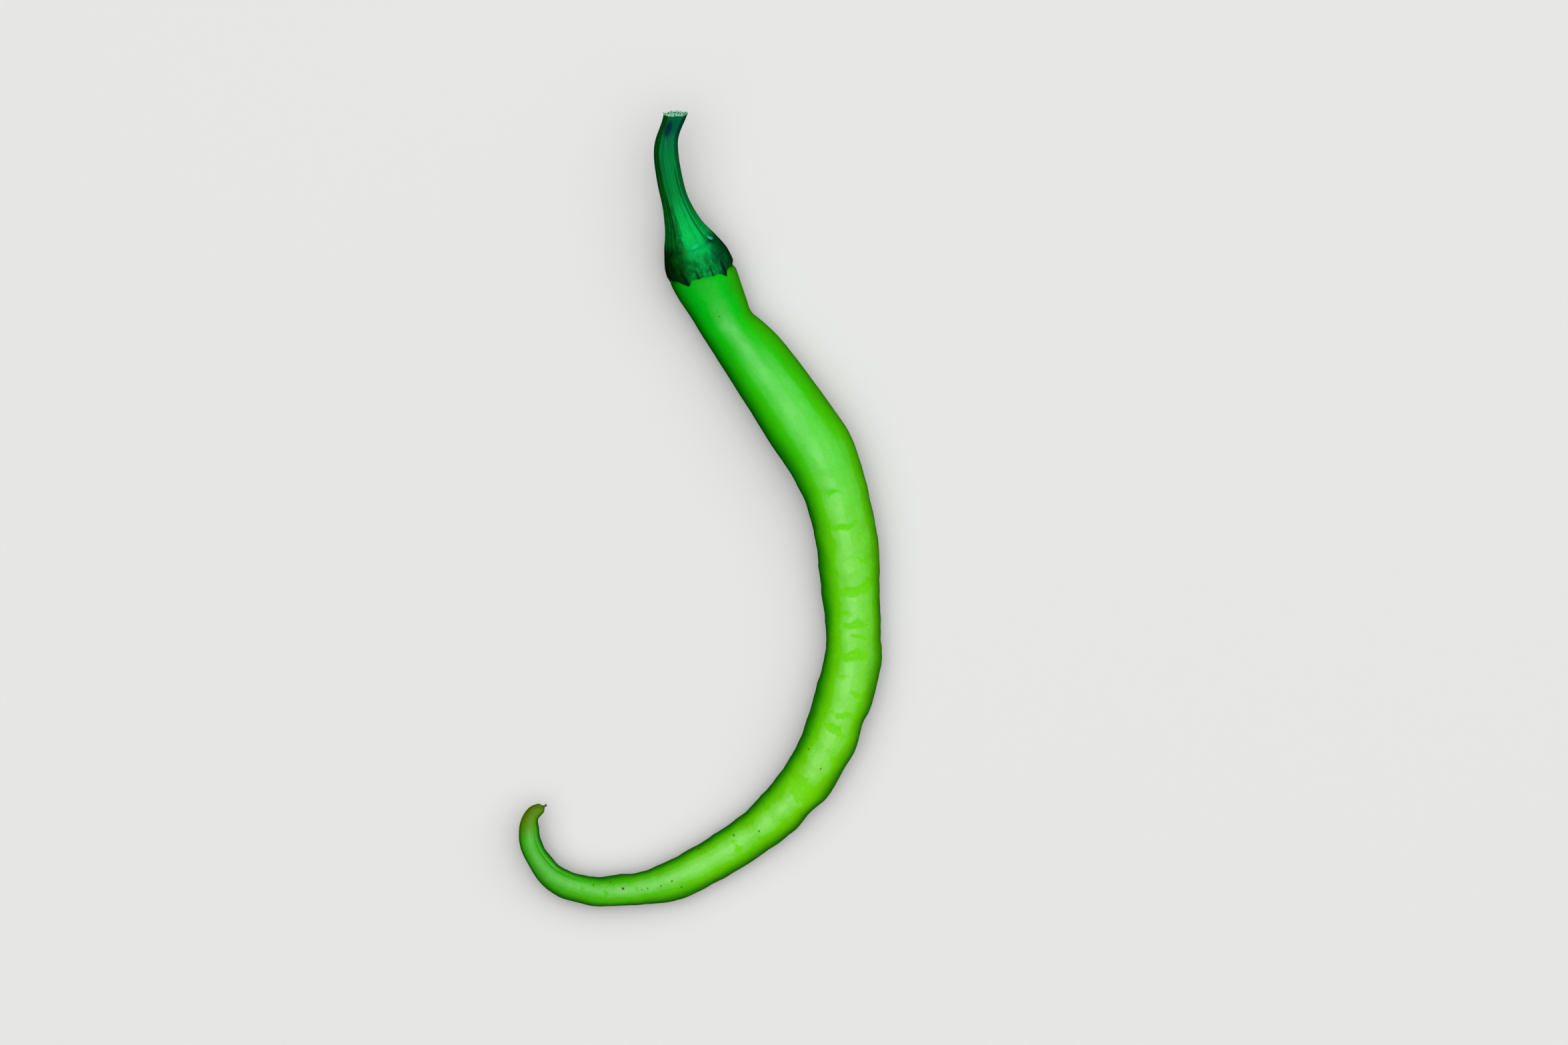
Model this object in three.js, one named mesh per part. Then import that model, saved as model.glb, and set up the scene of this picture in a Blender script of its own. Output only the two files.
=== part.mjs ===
// A long, slim green chilli pepper as picked, lying on a flat surface.
// Millimetres, +Z up. The origin is under the middle of the pepper's box, on the surface it lies on.
// Distances run along one bent centreline, from the torn end of the stem to the dried tip of the pod.
import * as THREE from 'three';

// Driving dimensions
const stemEnd = 28.6; // where the flared stem meets the calyx
const calyxStart = 28.9;
const calyxWall = 0.45;
const toothLength = 1.3;
const sideCount = 5; // sides of the stem, and teeth of the calyx
const firstRidge = THREE.MathUtils.degToRad(40); // a stem ridge and a calyx tooth, from the top
const podStart = 29.85;
const podEnd = 222.4;
const styleStart = 222.7;
const styleEnd = 223.6;
const fitGap = 0.3; // clearance between neighbouring pieces
const sectionHeight = 0.97; // height of a cross-section over its width
const stemFluting = 0.06; // depth of the stem's five sides, over its half width
const shoulderDepth = 2.4; // length of the pod's rounded shoulder under the calyx
const calyxLead = 0.8; // how far before the calyx its rounding would start
const calyxFoot = 0.8; // the calyx's narrowest radius, over its half width
const toothRoot = 2.5; // how far back from the rim a tooth begins
const toothSharpness = 3;
const drawnInBefore = 1; // the pod is fully drawn in this far before the calyx's rim
const drawnInPast = 3; // and not at all this far past it
const flutingFade = 18; // where the stem's five sides start to fade out
const tornDish = 0.2; // depth of the hollow in the stem's torn end
const styleRadius = 0.42;
const styleTaper = 0.22;
const headingStep = 0.4; // how far ahead and behind the centreline's heading is taken

const stemSides = 25;
const calyxSides = 40;
const podSides = 24;
const styleSides = 8;

// The centreline seen from above: [x, y]
const centreline = [
  [-4.8, 80], [-6.8, 74], [-6.1, 66.5], [-3.3, 57], [0.2, 48], [6.2, 36.8], [16.4, 22.8],
  [25.1, 9], [29.5, -5.5], [30.9, -22], [30.3, -33], [25, -49.2], [15.4, -62], [3, -71],
  [-10.5, -76.7], [-22, -77.5], [-30.5, -73.9], [-34.6, -67], [-34.1, -62.2], [-31, -59.9],
];

// Half width of the whole pepper: [distance, half width]
const halfWidths = [
  [0, 2.2], [3, 1.95], [8, 2.35], [14, 2.5], [19, 2.75], [24, 4], [27, 5.4], [30, 6.5], [32.5, 6.8],
  [35.5, 6.7], [40, 6.15], [46, 5.75], [52, 6.35], [60, 6.85], [75, 7.15], [82, 6.85], [90, 6.4],
  [102, 6.1], [112, 5.65], [122, 5.8], [134, 5.6], [148, 5.2], [162, 4.5], [178, 4.1], [187, 3.5],
  [200, 3], [211, 2.4], [217, 2.05], [220, 1.65], [222, 1.2], [223.6, 0.5],
];

// Where the calyx ends on the pod: [angle from the top in degrees, distance]. It is drawn back on the
// inside of the bend.
const rimLine = [
  [-180, 33.2], [-120, 32.2], [-90, 31.8], [-60, 32.8], [-33, 33.7], [0, 34.5], [20, 35], [40, 35.1],
  [65, 34.8], [90, 34.3], [130, 33.8], [180, 33.2],
];
const calyxRim = 35; // the profile's rim, before it is drawn back to the rim line

// Room under the pepper: [distance, gap]. Below zero it rests, and the skin is pressed flat.
const clearances = [
  [0, 12.4], [8, 10], [16, 7.7], [20, 6.5], [24, 4.6], [28.6, 1.7], [32, 0.5], [38, 0.35], [46, 0.3],
  [53, -0.16], [60, -0.16], [75, 0.3], [90, 0.35], [106, -0.16], [114, -0.16], [128, 0.3], [145, 0.35],
  [160, -0.16], [170, -0.14], [184, 0.6], [198, 1.5], [210, 2.9], [223.6, 4.6],
];

// Knuckles and dents of the pod: [distance, angle from the top in degrees, height, reach]
// Positive angles lie on the outside of the bend.
const knuckles = [
  [45.3, 82, -0.75, 2.2], [53, -90, -0.2, 4], [53, 85, 0.25, 4], [77, 80, 0.3, 3.5], [86, -90, -0.3, 6],
  [103, -90, 0.25, 6], [103, 88, -0.3, 5], [118, -90, -0.4, 6], [120, 90, 0.35, 3], [128, -90, 0.3, 4],
  [132, 90, -0.65, 2.8], [142, 90, -0.15, 2.5], [149.5, -90, -0.25, 2.5], [151, 90, -0.3, 2.2],
  [154, -90, 0.2, 3], [161, 90, -0.2, 8], [165, -90, 0.25, 4], [180, 90, 0.25, 4], [187, -90, -0.25, 3],
  [192, 90, -0.5, 5], [192, -90, 0.3, 3], [203, -90, -0.45, 4], [205, 90, 0.3, 4], [211, 90, -0.2, 3],
];
const knuckleSpread = 40; // degrees round the pod

const plan = new THREE.CatmullRomCurve3(centreline.map(([x, y]) => new THREE.Vector3(x, y, 0)));
plan.arcLengthDivisions = 1000;
const planLength = plan.getLength();
const up = new THREE.Vector3(0, 0, 1);

function smooth(stations) {
  const places = stations.map(([place]) => place);
  const values = stations.map(([, value]) => value);
  const curve = new THREE.CubicInterpolant(places, values, 1);
  return (place) => curve.evaluate(place)[0];
}

const halfWidth = smooth(halfWidths);
const clearance = smooth(clearances);
const rimAt = smooth(rimLine);

// The centreline's point above a distance: a section's half height over the gap under it
function centreAt(distance) {
  const point = plan.getPointAt(THREE.MathUtils.clamp(distance / planLength, 0, 1));
  point.z = clearance(distance) + halfWidth(distance) * sectionHeight;
  return point;
}

// Directions across the pepper at a distance: side is the outside of the bend, rise is its top
function sectionAt(distance) {
  const centre = centreAt(distance);
  const ahead = centreAt(Math.min(distance + headingStep, styleEnd));
  const along = ahead.sub(centreAt(Math.max(distance - headingStep, 0))).normalize();
  const side = new THREE.Vector3().crossVectors(up, along).normalize();
  const rise = new THREE.Vector3().crossVectors(along, side);
  return { centre, side, rise };
}

// Bends a body of revolution along the centreline. Its axis holds the distance, and shape may change
// the distance and radius of any of its points, given their angle from the top. Side, along and rise
// are left-handed, so the profile is turned in reverse to keep the faces outwards. The turn starts half
// a side round, which puts a flat side underneath where the number of sides is even.
function bend(profile, sides, shape) {
  const geometry = new THREE.LatheGeometry([...profile].reverse(), sides, Math.PI / sides);
  const position = geometry.getAttribute('position');
  const point = new THREE.Vector3();
  for (let i = 0; i < position.count; i += 1) {
    point.fromBufferAttribute(position, i);
    const radius = Math.hypot(point.x, point.z);
    const angle = Math.atan2(point.x, point.z);
    const shaped = shape(point.y, radius, angle);
    const { centre, side, rise } = sectionAt(shaped.distance);
    centre.addScaledVector(side, shaped.radius * Math.sin(angle));
    centre.addScaledVector(rise, shaped.radius * Math.cos(angle) * sectionHeight);
    position.setXYZ(i, centre.x, centre.y, Math.max(centre.z, 0));
  }
  geometry.computeVertexNormals();
  return geometry;
}

// Points of a profile at even steps between two distances, with the radius given by a function
function profileRun(from, to, count, radiusAt) {
  const points = [];
  for (let i = 0; i <= count; i += 1) {
    const distance = THREE.MathUtils.lerp(from, to, i / count);
    points.push(new THREE.Vector2(radiusAt(distance), distance));
  }
  return points;
}

function piece(name, geometry, color, roughness) {
  const material = new THREE.MeshStandardMaterial({ color, roughness, metalness: 0 });
  const mesh = new THREE.Mesh(geometry, material);
  mesh.name = name;
  return mesh;
}

// Five rounded sides, fading out where the stem spreads into its round foot
function stem() {
  const profile = [
    new THREE.Vector2(0, tornDish),
    ...profileRun(0, stemEnd, 16, halfWidth),
    new THREE.Vector2(0, stemEnd),
  ];
  const geometry = bend(profile, stemSides, (distance, radius, angle) => {
    const fade = 1 - THREE.MathUtils.smoothstep(distance, flutingFade, stemEnd);
    const fluting = stemFluting * fade * Math.cos(sideCount * (angle - firstRidge));
    return { distance, radius: radius * (1 + fluting) };
  });
  return piece('stem', geometry, 0x12873a, 0.6);
}

// The pod's radius, drawn in under the calyx so that the cup fits over its shoulder
function podRadius(distance, angle) {
  const rim = rimAt(THREE.MathUtils.radToDeg(angle));
  const covered = calyxWall + fitGap;
  const past = THREE.MathUtils.smoothstep(distance, rim - drawnInBefore, rim + drawnInPast);
  const inset = covered * (1 - past);
  const round = THREE.MathUtils.clamp((distance - podStart) / shoulderDepth, 0, 1);
  return (halfWidth(distance) - inset) * Math.sqrt(1 - (1 - round) ** 2);
}

function calyxRadius(distance) {
  const round = Math.min((distance - calyxStart + calyxLead) / shoulderDepth, 1);
  return halfWidth(distance) * (calyxFoot + (1 - calyxFoot) * Math.sqrt(1 - (1 - round) ** 2));
}

// A cup over the pod's shoulder. Its rim runs out into pointed teeth. The profile's radius only says
// which face a point belongs to: 2 is the outside, 1 the inside, and 0 the axis.
function calyx() {
  const profile = [
    new THREE.Vector2(0, calyxStart),
    ...profileRun(calyxStart, calyxRim, 8, () => 2),
    ...profileRun(calyxRim - 0.05, podStart + 0.12, 12, () => 1),
    new THREE.Vector2(0, podStart - fitGap),
  ];
  const geometry = bend(profile, calyxSides, (place, face, angle) => {
    const rim = rimAt(THREE.MathUtils.radToDeg(angle));
    const turns = ((angle - firstRidge) * sideCount) / (2 * Math.PI);
    const point = 2 * Math.abs(THREE.MathUtils.euclideanModulo(turns, 1) - 0.5);
    const reach = THREE.MathUtils.smoothstep(place, calyxRim - toothRoot, calyxRim);
    const from = face > 1.5 ? calyxStart : podStart - fitGap;
    const drawn = face > 0.5 ? from + ((place - from) * (rim - from)) / (calyxRim - from) : place;
    const distance = face > 0.5 ? drawn + reach * toothLength * point ** toothSharpness : place;
    if (face > 1.5) return { distance, radius: calyxRadius(distance) };
    return { distance, radius: face > 0.5 ? podRadius(distance, angle) + fitGap : 0 };
  });
  return piece('calyx', geometry, 0x0b5a1e, 0.55);
}

// The pod's skin with its knuckles. The profile's radius is 1 on the skin and 0 on the axis.
function podShape(distance, face, angle) {
  let height = 0;
  for (const [place, turn, size, reach] of knuckles) {
    const along = (distance - place) / reach;
    const apart = angle - THREE.MathUtils.degToRad(turn);
    const around = Math.atan2(Math.sin(apart), Math.cos(apart)) / THREE.MathUtils.degToRad(knuckleSpread);
    height += size * Math.exp(-along * along - around * around);
  }
  return { distance, radius: face > 0.5 ? podRadius(distance, angle) + height : 0 };
}

function pod() {
  const profile = [
    new THREE.Vector2(0, podStart),
    ...profileRun(podStart + 0.15, podStart + shoulderDepth, 6, () => 1),
    ...profileRun(podStart + shoulderDepth + 0.8, podStart + 6.4, 3, () => 1),
    ...profileRun(podStart + 8.5, podEnd - 0.3, 68, () => 1),
    new THREE.Vector2(0, podEnd),
  ];
  return piece('pod', bend(profile, podSides, podShape), 0x6cc41c, 0.3);
}

function styleTip() {
  const length = styleEnd - styleStart;
  const taper = (distance) => styleRadius - (styleTaper * (distance - styleStart)) / length;
  const profile = [
    new THREE.Vector2(0, styleStart),
    ...profileRun(styleStart, styleEnd, 3, taper),
    new THREE.Vector2(0, styleEnd),
  ];
  const geometry = bend(profile, styleSides, (distance, radius) => ({ distance, radius }));
  return piece('style_tip', geometry, 0x5a4022, 0.85);
}

const pepper = new THREE.Group();
pepper.add(stem(), calyx(), pod(), styleTip());

// Stand the box's bottom centre on the origin
const box = new THREE.Box3().setFromObject(pepper);
const middle = box.getCenter(new THREE.Vector3());
pepper.position.set(-middle.x, -middle.y, -box.min.z);

export default pepper;
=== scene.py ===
import bpy
import math
import numpy as np
from mathutils import Matrix, Vector


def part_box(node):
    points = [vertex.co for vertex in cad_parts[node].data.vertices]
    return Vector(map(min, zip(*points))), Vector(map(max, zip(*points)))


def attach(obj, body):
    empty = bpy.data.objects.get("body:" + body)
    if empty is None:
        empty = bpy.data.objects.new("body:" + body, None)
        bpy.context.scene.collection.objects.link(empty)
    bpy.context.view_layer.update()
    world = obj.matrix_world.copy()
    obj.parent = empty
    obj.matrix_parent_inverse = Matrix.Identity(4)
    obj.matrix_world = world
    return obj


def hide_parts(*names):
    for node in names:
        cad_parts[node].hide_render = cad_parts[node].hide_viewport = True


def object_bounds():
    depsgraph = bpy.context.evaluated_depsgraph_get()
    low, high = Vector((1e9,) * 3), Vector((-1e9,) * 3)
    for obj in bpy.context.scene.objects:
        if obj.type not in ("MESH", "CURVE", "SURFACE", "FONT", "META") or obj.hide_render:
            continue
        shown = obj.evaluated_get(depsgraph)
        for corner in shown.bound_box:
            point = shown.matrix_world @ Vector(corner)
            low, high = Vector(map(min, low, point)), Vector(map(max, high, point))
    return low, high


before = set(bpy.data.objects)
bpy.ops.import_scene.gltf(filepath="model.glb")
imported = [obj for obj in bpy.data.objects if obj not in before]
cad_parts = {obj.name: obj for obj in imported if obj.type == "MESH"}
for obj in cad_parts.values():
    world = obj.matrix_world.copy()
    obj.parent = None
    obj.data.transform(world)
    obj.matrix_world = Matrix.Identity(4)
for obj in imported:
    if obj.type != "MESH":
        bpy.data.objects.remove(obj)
cadLow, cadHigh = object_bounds()
print("frame loaded, CAD box", tuple(cadLow), tuple(cadHigh))

mm = 0.001
scene = bpy.context.scene
degrees = math.pi / 180

# the line the pepper follows
# Distances run from the torn end of the stem to the tip, seen from above, in millimetres.
route = {
    "line": [
        (-4.8, 80), (-6.8, 74), (-6.1, 66.5), (-3.3, 57), (0.2, 48), (6.2, 36.8), (16.4, 22.8),
        (25.1, 9), (29.5, -5.5), (30.9, -22), (30.3, -33), (25, -49.2), (15.4, -62), (3, -71),
        (-10.5, -76.7), (-22, -77.5), (-30.5, -73.9), (-34.6, -67), (-34.1, -62.2), (-31, -59.9),
    ],
    "halfWidths": [
        (0, 2.2), (3, 1.95), (8, 2.35), (14, 2.5), (19, 2.75), (24, 4), (27, 5.4), (30, 6.5), (32.5, 6.8),
        (35.5, 6.7), (40, 6.15), (46, 5.75), (52, 6.35), (60, 6.85), (75, 7.15), (82, 6.85), (90, 6.4),
        (102, 6.1), (112, 5.65), (122, 5.8), (134, 5.6), (148, 5.2), (162, 4.5), (178, 4.1), (187, 3.5),
        (200, 3), (211, 2.4), (217, 2.05), (220, 1.65), (222, 1.2), (223.6, 0.5),
    ],
    "clearances": [  # the gap under the skin: below zero it rests
        (0, 12.4), (8, 10), (16, 7.7), (20, 6.5), (24, 4.6), (28.6, 1.7), (32, 0.5), (38, 0.35),
        (46, 0.3), (53, -0.16), (60, -0.16), (75, 0.3), (90, 0.35), (106, -0.16), (114, -0.16),
        (128, 0.3), (145, 0.35), (160, -0.16), (170, -0.14), (184, 0.6), (198, 1.5), (210, 2.9),
        (223.6, 4.6),
    ],
    "sectionHeight": 0.97,
    "step": 0.25,  # spacing of the finished line's points
    "firstRidge": 40,  # degrees from the top: a ridge of the stem, a tooth of the calyx
    "ridges": 5,
    "stemFoot": 28.6,  # where the stem meets the calyx
}


def through(stations, at):
    # a smooth curve through (place, value) pairs
    places, values = (np.array(column, float) for column in zip(*stations))
    slopes = np.gradient(values, places)
    i = np.clip(np.searchsorted(places, at) - 1, 0, len(places) - 2)
    span = places[i + 1] - places[i]
    t = np.clip((at - places[i]) / span, 0, 1)
    rise = values[i + 1] - values[i]
    start, end = slopes[i] * span, slopes[i + 1] * span
    return values[i] + start * t + (3 * rise - 2 * start - end) * t**2 + (start + end - 2 * rise) * t**3


def smoothstep(x, low, high):
    t = np.clip((x - low) / (high - low), 0, 1)
    return t * t * (3 - 2 * t)


def halfWidth(distance):
    return through(route["halfWidths"], distance)


def lineSpacedEvenly():
    # the route's points, joined by a smooth curve and spaced evenly along it
    corners = np.array(route["line"], float)
    chord = np.concatenate([[0], np.cumsum(np.linalg.norm(np.diff(corners, axis=0), axis=1))])
    dense = np.linspace(0, chord[-1], 8000)
    xy = np.column_stack([through(list(zip(chord, corners[:, axis])), dense) for axis in (0, 1)])
    run = np.concatenate([[0], np.cumsum(np.linalg.norm(np.diff(xy, axis=0), axis=1))])
    even = np.arange(0, run[-1], route["step"])
    return even, np.column_stack([np.interp(even, run, xy[:, axis]) for axis in (0, 1)])


def makeRouteObject():
    # an edge chain on the surface, which carries the height of the pepper's middle above it
    distance, xy = lineSpacedEvenly()
    height = through(route["clearances"], distance) + halfWidth(distance) * route["sectionHeight"]
    slope = np.gradient(height, distance)
    lift = np.column_stack([height * mm, slope, np.zeros_like(slope)])
    mesh = bpy.data.meshes.new("route")
    count = len(distance)
    points = np.column_stack([xy * mm, np.zeros(count)])
    mesh.from_pydata(points.tolist(), [(i, i + 1) for i in range(count - 1)], [])
    stored = mesh.attributes.new("lift", "FLOAT_VECTOR", "POINT")
    stored.data.foreach_set("vector", lift.astype(np.float32).ravel())
    item = bpy.data.objects.new("route", mesh)
    scene.collection.objects.link(item)
    return item


# geometry nodes helpers
class Tree:
    # a small wrapper that adds nodes, sets their inputs and joins them up
    def __init__(self, name, kind):
        self.nodes = (bpy.data.node_groups.new(name, kind) if isinstance(kind, str) else kind).nodes
        self.group = self.nodes.id_data
        self.link = self.group.links.new

    def add(self, kind, inputs=(), **settings):
        node = self.nodes.new(kind)
        for key, value in settings.items():
            setattr(node, key, value)
        for key, value in dict(inputs).items():
            self.feed(node.inputs[key], value)
        return node

    def feed(self, socket, value):
        if isinstance(value, bpy.types.NodeSocket):
            self.link(value, socket)
        elif value is not None:
            socket.default_value = value

    def math(self, operation, a, b=None, c=None, clamp=False):
        node = self.add("ShaderNodeMath", operation=operation, use_clamp=clamp)
        for socket, value in zip(node.inputs, (a, b, c)):
            self.feed(socket, value)
        return node.outputs[0]

    def times(self, a, b):
        return self.math("MULTIPLY", a, b)

    def vector(self, operation, a, b=None, scale=None):
        node = self.add("ShaderNodeVectorMath", operation=operation)
        self.feed(node.inputs[0], a)
        self.feed(node.inputs[1], b)
        if scale is not None:
            self.feed(node.inputs["Scale"], scale)
        return node.outputs["Value" if operation in ("LENGTH", "DOT_PRODUCT", "DISTANCE") else "Vector"]

    def split(self, vector):
        node = self.add("ShaderNodeSeparateXYZ", {0: vector})
        return node.outputs[0], node.outputs[1], node.outputs[2]

    def join(self, x, y, z):
        return self.add("ShaderNodeCombineXYZ", {0: x, 1: y, 2: z}).outputs[0]

    def between(self, value, low, high, outLow=0.0, outHigh=1.0, smooth=True):
        kind = "SMOOTHSTEP" if smooth else "LINEAR"
        inputs = {"Value": value, "From Min": low, "From Max": high, "To Min": outLow, "To Max": outHigh}
        return self.add("ShaderNodeMapRange", inputs, interpolation_type=kind).outputs["Result"]


def live(sockets, name):
    return next(s for s in sockets if s.name == name and s.enabled)


def storeAs(tree, geometry, name, kind, value):
    inputs = {"Geometry": geometry, "Name": name}
    node = tree.add("GeometryNodeStoreNamedAttribute", inputs, data_type=kind, domain="POINT")
    tree.feed(live(node.inputs, "Value"), value)
    return node.outputs[0]


def addInput(tree, name, kind, default=None):
    socket = tree.group.interface.new_socket(name, in_out="INPUT", socket_type="NodeSocket" + kind)
    if default is not None:
        socket.default_value = default


def runTree(item, tree, values):
    # sets a tree's named inputs by identifier, then bakes its result into a plain mesh
    modifier = item.modifiers.new(tree.group.name, "NODES")
    modifier.node_group = tree.group
    for socket in tree.group.interface.items_tree:
        if socket.item_type == "SOCKET" and socket.in_out == "INPUT" and socket.name in values:
            modifier[socket.identifier] = values[socket.name]
    item.update_tag()
    bpy.context.view_layer.update()
    graph = bpy.context.evaluated_depsgraph_get()
    evaluated = item.evaluated_get(graph)
    mesh = bpy.data.meshes.new_from_object(evaluated, preserve_all_data_layers=True, depsgraph=graph)
    item.modifiers.remove(modifier)
    item.data = mesh
    mesh.name = item.name
    return item


def growNoise(tree, straight, seed, height, length, width):
    # an uneven swelling of a given height, drawn out along the pepper by length over width
    x, y, z = tree.split(straight)
    scaled = tree.join(
        tree.math("DIVIDE", x, length), tree.math("DIVIDE", y, width), tree.math("DIVIDE", z, width)
    )
    noise = tree.add(
        "ShaderNodeTexNoise",
        {"Vector": scaled, "W": seed, "Scale": 1.0, "Detail": 2.0, "Roughness": 0.45},
        noise_dimensions="4D",
    )
    centred = tree.math("SUBTRACT", noise.outputs[0], 0.5)
    return tree.times(centred, height)


# the lengths that a piece may set, in metres
layLengths = {
    "Ripple Height": 0.0, "Ripple Length": 0.005, "Ripple Width": 0.01,
    "Ripple From": 0.0, "Ripple To": 0.01,
    "Grain Height": 0.0, "Grain Length": 0.01, "Grain Width": 0.001,
    "Smooth From": 1.0, "Smooth To": 2.0,
}


def makeLayTree():
    # lays a straight piece (x is the distance, y its outer side, z its top) along the route
    tree = Tree("layAlongRoute", "GeometryNodeTree")
    addInput(tree, "Geometry", "Geometry")
    addInput(tree, "Route", "Object")
    addInput(tree, "Section Height", "Float", 1.0)
    for name, default in layLengths.items():
        addInput(tree, name, "Float", default)
    addInput(tree, "Seed", "Float", 1.0)
    addInput(tree, "Material", "Material")
    tree.group.interface.new_socket("Geometry", in_out="OUTPUT", socket_type="NodeSocketGeometry")
    given = tree.add("NodeGroupInput").outputs

    straight = tree.add("GeometryNodeInputPosition").outputs[0]
    x, y, z = tree.split(straight)
    # ripples and grain swell the skin outwards from the piece's middle line
    grown = tree.between(x, given["Ripple From"], given["Ripple To"])
    grainSeed = tree.math("ADD", given["Seed"], 17.0)
    ripple, grain = (
        growNoise(tree, straight, seed, *(given[kind + size] for size in (" Height", " Length", " Width")))
        for kind, seed in (("Ripple", given["Seed"]), ("Grain", grainSeed))
    )
    swell = tree.math("MULTIPLY_ADD", ripple, grown, grain)
    swell = tree.times(swell, tree.between(x, given["Smooth From"], given["Smooth To"], 1.0, 0.0))
    outwards = tree.vector("NORMALIZE", tree.join(0.0, y, z))
    rough = tree.vector("ADD", straight, tree.vector("SCALE", outwards, scale=swell))
    x, y, z = tree.split(rough)

    info = tree.add("GeometryNodeObjectInfo", {"Object": given["Route"]}, transform_space="RELATIVE")
    path = tree.add("GeometryNodeMeshToCurve", {"Mesh": info.outputs["Geometry"]}).outputs[0]
    lift = tree.add("GeometryNodeInputNamedAttribute", {"Name": "lift"}, data_type="FLOAT_VECTOR")
    sample = tree.add(
        "GeometryNodeSampleCurve",
        {"Curves": path, "Length": x},
        mode="LENGTH",
        data_type="FLOAT_VECTOR",
        use_all_curves=True,
    )
    valueIn = live(sample.inputs, "Value")
    valueOut = live(sample.outputs, "Value")
    tree.link(live(lift.outputs, "Attribute"), valueIn)
    height, slope, _ = tree.split(valueOut)
    up = tree.join(0.0, 0.0, 1.0)
    along = tree.vector("ADD", sample.outputs["Tangent"], tree.join(0.0, 0.0, slope))
    along = tree.vector("NORMALIZE", along)
    side = tree.vector("NORMALIZE", tree.vector("CROSS_PRODUCT", up, along))
    top = tree.vector("CROSS_PRODUCT", along, side)
    place = tree.vector("ADD", sample.outputs["Position"], tree.join(0.0, 0.0, height))
    before = tree.math("MINIMUM", x, 0.0)  # the line runs on straight behind its start
    place = tree.vector("ADD", place, tree.vector("SCALE", along, scale=before))
    place = tree.vector("ADD", place, tree.vector("SCALE", side, scale=y))
    place = tree.vector(
        "ADD", place, tree.vector("SCALE", top, scale=tree.times(z, given["Section Height"]))
    )
    px, py, pz = tree.split(place)
    place = tree.join(px, py, tree.math("MAXIMUM", pz, 0.0))  # the belly lies flat on the surface

    stored = storeAs(tree, given["Geometry"], "skin", "FLOAT_VECTOR", straight)
    moved = tree.add("GeometryNodeSetPosition", {"Geometry": stored, "Position": place})
    smooth = tree.add("GeometryNodeSetShadeSmooth", {"Geometry": moved.outputs[0]})
    real = tree.add("GeometryNodeRealizeInstances", {"Geometry": smooth.outputs[0]})
    painted = tree.add(
        "GeometryNodeSetMaterial", {"Geometry": real.outputs[0], "Material": given["Material"]}
    )
    tree.link(painted.outputs[0], tree.add("NodeGroupOutput").inputs[0])
    return tree


def ringMesh(name, distance, radius, angles, marks=()):
    # a closed straight piece from rings of points: distance and radius are (rings, sides), in mm
    rings, sides = radius.shape
    ring = np.stack([distance, radius * np.sin(angles), radius * np.cos(angles)], axis=-1)
    ends = np.array([[distance[0].mean(), 0, 0], [distance[-1].mean(), 0, 0]])
    points = np.concatenate([ends[:1], ring.reshape(-1, 3), ends[1:]]) * mm
    i, j = np.meshgrid(np.arange(rings - 1), np.arange(sides), indexing="ij")
    k = (j + 1) % sides
    quads = np.stack([i * sides + j, (i + 1) * sides + j, (i + 1) * sides + k, i * sides + k], -1)
    quads = (quads.reshape(-1, 4) + 1).tolist()
    around = np.arange(sides)
    after = (around + 1) % sides
    last = 1 + (rings - 1) * sides
    first = np.stack([np.zeros(sides, int), around + 1, after + 1], -1).tolist()
    final = np.stack([np.full(sides, last + sides), last + after, last + around], -1).tolist()
    mesh = bpy.data.meshes.new(name)
    mesh.from_pydata(points.tolist(), [], quads + first + final)
    for mark, values in dict(marks).items():
        flat = np.concatenate([[values[0].mean()], values.ravel(), [values[-1].mean()]])
        mesh.attributes.new(mark, "FLOAT", "POINT").data.foreach_set("value", flat.astype(np.float32))
    item = bpy.data.objects.new(name, mesh)
    scene.collection.objects.link(item)
    return item


def turnedBy(angles, degreesFromTop):
    # how far round each point is from an angle, in degrees, the short way
    return (np.degrees(angles) - degreesFromTop + 180) % 360 - 180


def bump(distance, angles, place, turn, reach, spread):
    # 1 at a place on the skin, fading to 0 over reach mm along and spread degrees round
    along = (distance - place) / reach
    around = turnedBy(angles, turn) / spread
    return np.exp(-(along**2) - around**2)


def alongPiece(start, end, count, crowd=0.0):
    # even places from start to end, crowded towards both ends by crowd (0 to 1)
    t = np.linspace(0, 1, count)
    eased = (1 - np.cos(math.pi * t)) / 2
    return start + (end - start) * (t * (1 - crowd) + eased * crowd)


def layPiece(item, piece, material, sectionHeight=route["sectionHeight"]):
    # lays a straight piece along the route, with the ripples and grain of its own dictionary
    values = {"Route": routeObject, "Section Height": sectionHeight, "Seed": piece["seed"]}
    values["Material"] = material
    for name in layLengths:
        key = name[0].lower() + name[1:].replace(" ", "")
        if key in piece:
            values[name] = piece[key] * mm
    return runTree(item, layTree, values)


def finishPiece(item, node):
    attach(item, "root")
    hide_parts(node)
    return item


# shader helpers
def linear(red, green, blue):
    # an 8-bit screen colour as a linear one
    def one(value):
        value = value / 255
        return value / 12.92 if value <= 0.04045 else ((value + 0.055) / 1.055) ** 2.4
    return (one(red), one(green), one(blue), 1.0)


def newMaterial(name):
    material = bpy.data.materials.new(name)
    material.use_nodes = True
    tree = Tree(name, material.node_tree)
    shader = next(n for n in tree.nodes if n.type == "BSDF_PRINCIPLED")
    return material, tree, shader


def colourRamp(tree, value, stops, interpolation="EASE"):
    node = tree.add("ShaderNodeValToRGB", {0: value})
    ramp = node.color_ramp
    ramp.interpolation = interpolation
    while len(ramp.elements) < len(stops):
        ramp.elements.new(1.0)
    for element, (place, colour) in zip(ramp.elements, stops):
        element.position = place
        element.color = colour
    return node.outputs[0]


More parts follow.
